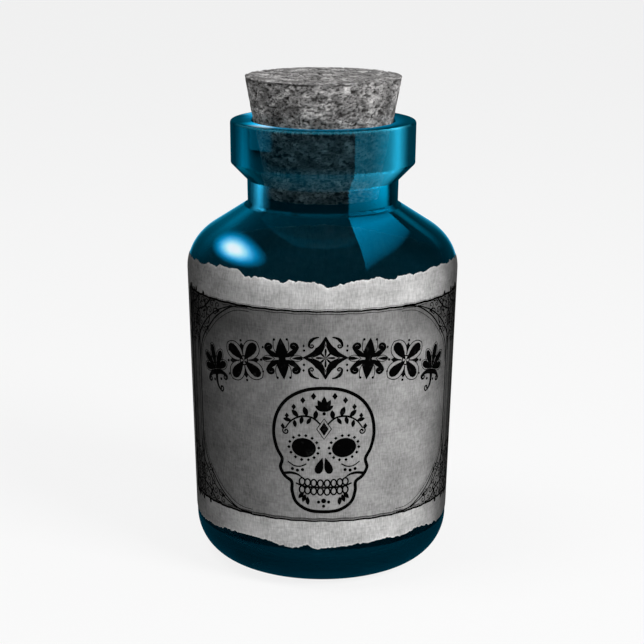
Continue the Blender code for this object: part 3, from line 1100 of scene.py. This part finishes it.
def chamfer_highlights():
    """Painted highlights on the slope under the collar, brightest at the right."""
    highlight("chamfer highlight", "259bc0", {
        19.1: 0.5, 27: 0.55, 35: 0.75, 42: 1.05, 47: 1.3, 52: 0.9, 57: 0.3, 60: 0},
        chamfer_low, collar_low)
    highlight("chamfer glow", "002c39", {-46: 1.1, -42: 0.9, -20: 1, 18.9: 1}, chamfer_low, 0.09755)
    highlight("chamfer edge glow", "002c39", {-68: 0.3, -61: 3, -56: 2.6, -52: 0},
              chamfer_low, collar_low, {0: 0, 0.4: 0.1, 0.65: 0.8, 1: 1.3})
    highlight("chamfer inner glow", "002c39", {-57: 0, -53: 1.4, -49: 1.7, -46: 1.1},
              chamfer_low, collar_low, {0: 1.2, 1: 0.8})


def neck_highlights():
    """Painted highlights: a broad band at the right of the neck and a strip at its left, which run on into
    its foot.
    """
    highlight("neck highlight", "007498", {
        19.3: 0.4, 30: 0.48, 38: 0.68, 45: 1, 53: 1.2, 56: 1, 59: 0.2, 61: 0},
        neck_low, neck_high, {0: 0.75, 0.5: 1, 1: 1.05})
    highlight("neck foot highlight", "00759e", {
        19.1: 0.1, 40: 0.12, 50: 0.25, 57: 0.7, 60: 0.6, 64: 0.25, 68: 0.05},
        shoulder_high, neck_low)
    highlight("neck foot strip", "2698c3", {
        -69: 0, -65: 0.3, -61: 0.75, -56: 0.9, -52: 0.5, -48: 0.1, -46: 0},
        shoulder_high, neck_low, {0: 0.35, 0.4: 0.8, 1: 1})
    highlight("neck edge strip", "2698c3", {
        -72: 0.06, -66: 0.15, -61: 0.5, -56: 1, -52.5: 0.7, -49: 0.2, -44: 0.04, -42: 0},
        neck_low, neck_high)


def spot_colour(azimuth, height):
    """The painted highlight of a spot on the shoulder: white in its middle and blue towards its edge."""
    along = (azimuth + 44.5) / 20
    above = (height - 80.15 * millimetre + (azimuth + 44.5) * 0.000065) / 0.0029
    reach = math.hypot(along, above)
    red = between({0: 0.80, 0.22: 0.70, 0.38: 0.30, 0.52: 0.07, 0.68: 0}, reach)
    green = between({0: 0.88, 0.28: 0.84, 0.46: 0.56, 0.62: 0.27, 0.78: 0.10, 1: 0}, reach)
    blue = between({0: 0.92, 0.32: 0.92, 0.52: 0.78, 0.66: 0.46, 0.82: 0.17, 1: 0}, reach)
    return red, green, blue


def shoulder_highlights():
    """Painted highlights on the shoulder: a spot, a wedge, a faint fill and a streak, and the bands and pale
    limbs at both sides.
    """
    fill_highlight_foot = {-45: 0.0862, -39: 0.0855, -22.4: 0.0833, -12.2: 0.0818, -0.5: 0.0816,
                 11.9: 0.0817, 18.3: 0.0826}
    highlight("shoulder fill highlight", "001a24", {-45: 1.3, -20: 1.1, 18.3: 0.8}, fill_highlight_foot, 0.0880)
    wedge_foot = {18.3: 0.0769, 22: 0.0779, 26: 0.0789, 31: 0.0797, 37.4: 0.0807, 46.6: 0.0820,
                  55: 0.0830}
    highlight("shoulder wedge", "00759e", {18.3: 1, 50: 0.95, 55: 0.9}, wedge_foot, shoulder_high,
              {0: 0, 0.12: 0.25, 0.33: 0.47, 0.6: 0.7, 0.8: 1, 0.9: 0.8, 1: 0.6})
    highlight("shoulder spot", spot_colour, {-68: 1, -22: 1}, 0.0765, 0.0843)
    highlight("left shoulder band", "005b78", {
        -88: 0.8, -83: 0.45, -74: 0.5, -67: 1.05, -62: 0.8, -56: 0.25, -44: 0.08, -30: 0},
        shoulder_low, shoulder_high, {0: 0, 0.3: 0.2, 0.5: 0.45, 0.75: 0.9, 1: 1})
    streak_foot = {57: 0.0866, 61: 0.0856, 64: 0.0785, 72: 0.0785}
    highlight("right shoulder streak", "00485d", {
        57: 0, 60: 0.4, 63: 0.9, 66.5: 1.15, 69: 0.7, 72: 0},
        streak_foot, shoulder_high, {0: 0, 0.3: 0.35, 0.7: 0.9, 1: 1})
    highlight("right shoulder band", "003c50", {75: 0, 80: 0.3, 84: 0.8, 88: 1.2},
              shoulder_low, shoulder_high, {0: 0.2, 0.5: 0.7, 1: 1})
    limb = {0: 1.1, 0.08: 0.8, 0.14: 0.16, 0.2: 0}
    for name, start in (("left shoulder limb", -120), ("right shoulder limb", 78)):
        highlight(name, "2f9cc4", {start: 1, start + 42: 1}, 0.0740, shoulder_high, slant=limb)


def rim_highlights():
    """Painted highlights round the flat top of the lip, with a pale spark at its left."""
    highlight("rim glow", "0a6e96", {
        -180: 0.6, -128: 0.9, -113: 3.6, -104: 1.5, -92: 0.4, -75: 0.5, -64: 2.8, -54: 3.2,
        -42: 1.8, -20: 0.7, 0: 0.7, 30: 0.8, 50: 1.1, 65: 0.8, 80: 0.45, 95: 0.35, 180: 0.6},
        0.017, 0.0215, {0: 1, 0.2: 0.75, 0.4: 0.4, 0.6: 0.1, 0.75: 0}, rim_place)
    highlight("rim back glow", "3fb0dc", {-134: 0, -127: 0.8, -119: 1, -112: 0.35, -107: 0},
              0.0185, 0.02135, {0: 0.4, 0.5: 0.9, 1: 1}, rim_place)
    highlight("rim left glow", "007a9d", {-73: 0, -67: 0.6, -61: 1.1, -56: 0.7, -50: 0},
              0.0174, 0.0212, {0: 0.5, 0.35: 1, 0.65: 0.8, 1: 0}, rim_place)
    highlight("rim spark", "8ea0a8", {-60: 0, -55: 0.7, -49: 1.35, -42: 0.9, -36: 0},
              0.017, 0.0213, {0: 0.9, 0.5: 1, 0.75: 0.6, 1: 0}, rim_place)


def heel_highlights():
    """A faint painted highlight round the heel."""
    highlight("heel glow", "00202c", {-80: 0.6, -40: 0.45, 0: 0.65, 40: 0.85, 60: 0.7, 80: 0.5},
              0.0015, 0.0105)


def setting(nodes, mirrored):
    """Dark teal for rays in the glass, whether a ray has met a matt face, and whether it is the camera's."""
    path = nodes.add("LightPath").outputs
    teal = nodes.either(path["Is Transmission Ray"], mirrored, nodes.glow(seen_through))
    return teal, nodes.math('GREATER_THAN', path["Diffuse Depth"], 0.5), path["Is Camera Ray"]


def surroundings():
    """White backdrop to the camera, soft light on the object, and dark teal in the glass."""
    world = bpy.data.worlds.new("studio")
    bpy.context.scene.world = world
    nodes = Nodes(world, "OutputWorld", "Background")
    ray = nodes.add("SeparateXYZ", {0: nodes.add("TexCoord").outputs["Generated"]}).outputs
    backdrop = nodes.blend(nodes.ease(ray[1], -0.1, 0.6), mirrored_front, mirrored_back)
    teal, bounced, to_camera = setting(nodes, nodes.glow(backdrop))
    lit = nodes.either(bounced, teal, nodes.glow(white, soft_light))
    nodes.show(nodes.either(to_camera, lit, nodes.glow(white)))


def floor():
    """A wide matt floor: nearly white to the camera, with a faint shadow, and dark teal in the glass, darker
    there close to the bottle as painted shade.
    """
    bpy.ops.object.select_all(action='DESELECT')
    bpy.ops.mesh.primitive_plane_add(size=floor_width)
    made = bpy.context.object
    made.name = "studio_floor"
    nodes = Nodes(bpy.data.materials.new("pale floor"))
    place = nodes.add("TexCoord").outputs["Object"]
    away = nodes.add("VectorMath", {0: place}, operation='LENGTH').outputs["Value"]
    # Where the glass mirrors the floor it is darker close to the bottle: painted shade round the bottle's
    # foot
    mirrored = nodes.glow(mirrored_floor, nodes.ramp(away, 0.06, 0.24, 0.5, 1.0))
    teal, bounced, to_camera = setting(nodes, mirrored)
    matt = nodes.add("BsdfDiffuse", {"Color": (0.8, 0.8, 0.8, 1)}).outputs[0]
    pale = nodes.either(nodes.times(to_camera, floor_whiteness), matt, nodes.glow(white))
    nodes.show(nodes.either(nodes.math('MAXIMUM', bounced, to_camera), teal, pale))
    made.data.materials.append(nodes.owner)


def studio():
    """Pale floor, white surroundings, soft lamps and the glowing cards that paint the highlights in the
    glass.
    """
    floor()
    surroundings()
    lamp("key lamp", 50, 36, 4.8)
    lamp("top lamp", -70, 65, 2.0)
    collar_highlights()
    chamfer_highlights()
    neck_highlights()
    shoulder_highlights()
    rim_highlights()
    heel_highlights()


def camera():
    bpy.ops.object.camera_add(location=camera_place)
    made = bpy.context.object
    made.name = "camera"
    made.data.lens = camera_lens
    made.data.sensor_width = sensor_width
    made.data.clip_start = 0.01
    view = direction(180, -camera_pitch_degrees).to_track_quat('-Z', 'Y').to_matrix()
    roll = Matrix.Rotation(math.radians(camera_roll_degrees), 3, 'Z')
    made.rotation_euler = (view @ roll).to_euler()
    bpy.context.scene.camera = made


outside = outside_outline()
glowing_card = card_glow()
ink = printing_ink()
camera()
glass_bottle()
cork_stopper()
paper_label()
label_print()
studio()
bpy.context.scene.view_settings.view_transform = 'Standard'
